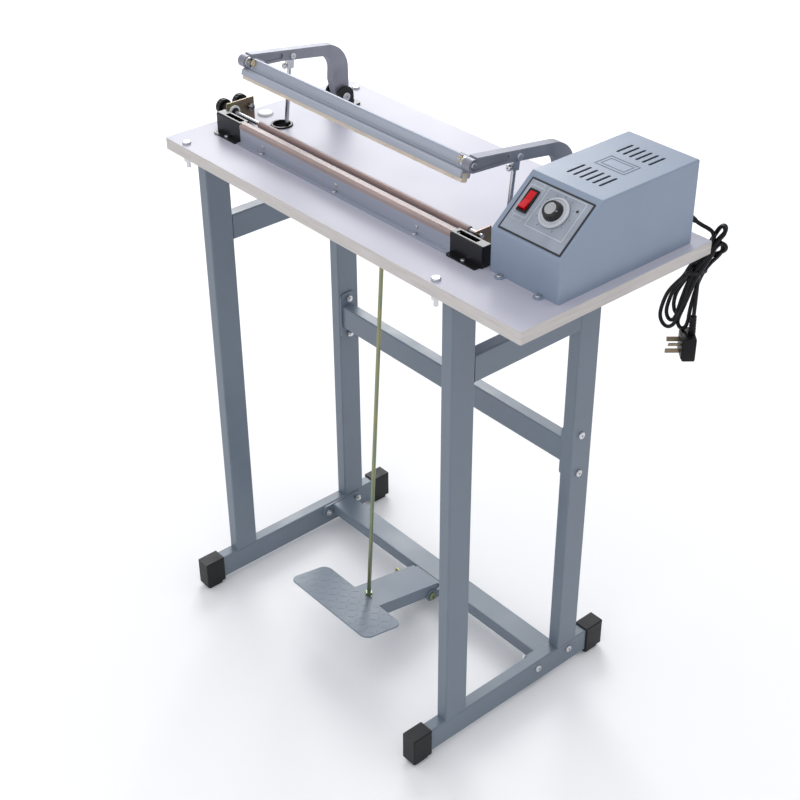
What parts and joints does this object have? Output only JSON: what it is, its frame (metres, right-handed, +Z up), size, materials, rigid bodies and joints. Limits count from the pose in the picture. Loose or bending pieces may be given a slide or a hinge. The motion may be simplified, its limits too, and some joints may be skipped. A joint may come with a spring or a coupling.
{
  "type": "foot-operated impulse heat sealer",
  "caption": "Pedal-operated impulse heat sealer: a steel stand and board carry a heated seal, a hinged press bar worked by rods, and a timer box with a corded plug.",
  "frame": {"origin": "on the floor, under the middle of the outline without the cord, hank and plug", "axes": "+X along the sealing line towards the control box, +Y to the rear, away from the operator, +Z up"},
  "size_m": [0.7135, 0.393, 0.9082],
  "materials": {
    "stand_paint": "satin",
    "laminate": "matte",
    "edge_band": "matte",
    "cap_rubber": "satin",
    "zinc": "satin",
    "yellow_zinc": "satin",
    "cast_aluminium": "satin",
    "extruded_aluminium": "satin",
    "silicone": "matte",
    "glass_cloth": "satin",
    "black_paint": "gloss",
    "black_plastic": "satin",
    "white_plastic": "satin",
    "box_paint": "satin",
    "panel_print": "satin",
    "red_rocker": "gloss",
    "brass": "satin",
    "resistance_alloy": "satin",
    "core_steel": "matte",
    "circuit_board": "matte",
    "spring_steel": "satin",
    "cord_pvc": "satin"
  },
  "bodies": {
    "stand": {"leg_left_front": "stand_paint", "leg_left_back": "stand_paint", "leg_right_front": "stand_paint", "leg_right_back": "stand_paint", "foot_rail_left": "stand_paint", "foot_rail_right": "stand_paint", "crossbars": "stand_paint", "mounting_straps": "stand_paint", "upper_stretcher": "stand_paint", "lower_stretcher": "stand_paint", "foot_caps": "cap_rubber", "stand_bolts": "zinc", "table_bolts": "zinc", "tabletop": "laminate", "edge_band": "edge_band", "grommets": "black_plastic", "hole_plug": "white_plastic", "seal_base": "extruded_aluminium", "end_bracket_left": "black_paint", "end_bracket_right": "black_paint", "terminal_blocks": "brass", "element_bed": "glass_cloth", "heating_element": "resistance_alloy", "ptfe_cloth": "glass_cloth", "bench_screws": "zinc", "roll_brackets": "yellow_zinc", "pivot_brackets": "black_paint", "pivot_axles": "zinc", "return_springs": "spring_steel", "pedal_bracket": "stand_paint", "pedal_bolt": "yellow_zinc", "control_cover": "box_paint", "control_floor": "core_steel", "transformer": "core_steel", "timer_board": "circuit_board", "panel_plate": "panel_print", "switch_housing": "black_plastic", "micro_switch": "black_plastic", "cord_gland": "cord_pvc", "power_cord": "cord_pvc", "cord_hank": "cord_pvc", "power_plug": "cord_pvc"},
    "press_arms": {"press_arm_left": "cast_aluminium", "press_arm_right": "cast_aluminium", "press_bar": "extruded_aluminium", "silicone_strip": "silicone", "bar_lugs": "zinc", "arm_fasteners": "zinc"},
    "lift_frame": {"swivel_blocks": "zinc", "lift_rods": "zinc", "yoke": "stand_paint"},
    "pull_rod": {"pull_rod": "yellow_zinc"},
    "pedal": {"pedal_arm": "stand_paint", "pedal_plate": "stand_paint"},
    "cloth_spindle": {"roll_shaft": "zinc", "roll_knob": "black_plastic", "cloth_roll": "glass_cloth"},
    "lock_screw": {"lock_knob": "black_plastic"},
    "rocker": {"switch_rocker": "red_rocker"},
    "dial": {"timer_dial": "black_plastic"}
  },
  "joints": [
    {"name": "arms_pivot", "type": "hinge", "parent": "stand", "child": "press_arms", "pos_m": [0, 0.0845, 0.8075], "axis": [1, 0, 0], "range_deg": [0, 19], "stiffness_Nm_per_rad": 14, "springref_deg": -28.65},
    {"name": "lift_swivel", "type": "hinge", "parent": "press_arms", "child": "lift_frame", "pos_m": [0, -0.0025, 0.889], "axis": [1, 0, 0], "range_deg": [-14.7, 0]},
    {"name": "rod_pin", "type": "hinge", "parent": "lift_frame", "child": "pull_rod", "pos_m": [-0.054, -0.02238, 0.71715], "axis": [1, 0, 0], "range_deg": [-4.4, 0]},
    {"name": "pedal_hinge", "type": "hinge", "parent": "stand", "child": "pedal", "pos_m": [-0.054, 0.042, 0.0415], "axis": [1, 0, 0], "range_deg": [0, 18.2]},
    {"name": "cloth_spin", "type": "hinge", "parent": "stand", "child": "cloth_spindle", "pos_m": [-0.2, -0.0708, 0.8096], "axis": [1, 0, 0], "continuous": true},
    {"name": "lock_turn", "type": "hinge", "parent": "stand", "child": "lock_screw", "pos_m": [-0.33, -0.0428, 0.8095], "axis": [1, 0, 0], "range_deg": [-90, 90]},
    {"name": "rocker_tip", "type": "hinge", "parent": "stand", "child": "rocker", "pos_m": [0.2494, -0.05784, 0.8741], "axis": [1, 0, 0], "range_deg": [0, 18]},
    {"name": "dial_turn", "type": "hinge", "parent": "stand", "child": "dial", "pos_m": [0.2914, -0.05807, 0.8739], "axis": [0, 0.6447, -0.7644], "range_deg": [-150, 150]}
  ],
  "couplings": [
    {"joint": "lift_swivel", "follows": "arms_pivot", "ratio": -0.76842},
    {"joint": "rod_pin", "follows": "arms_pivot", "ratio": -0.22211},
    {"joint": "pedal_hinge", "follows": "arms_pivot", "ratio": 0.945}
  ]
}
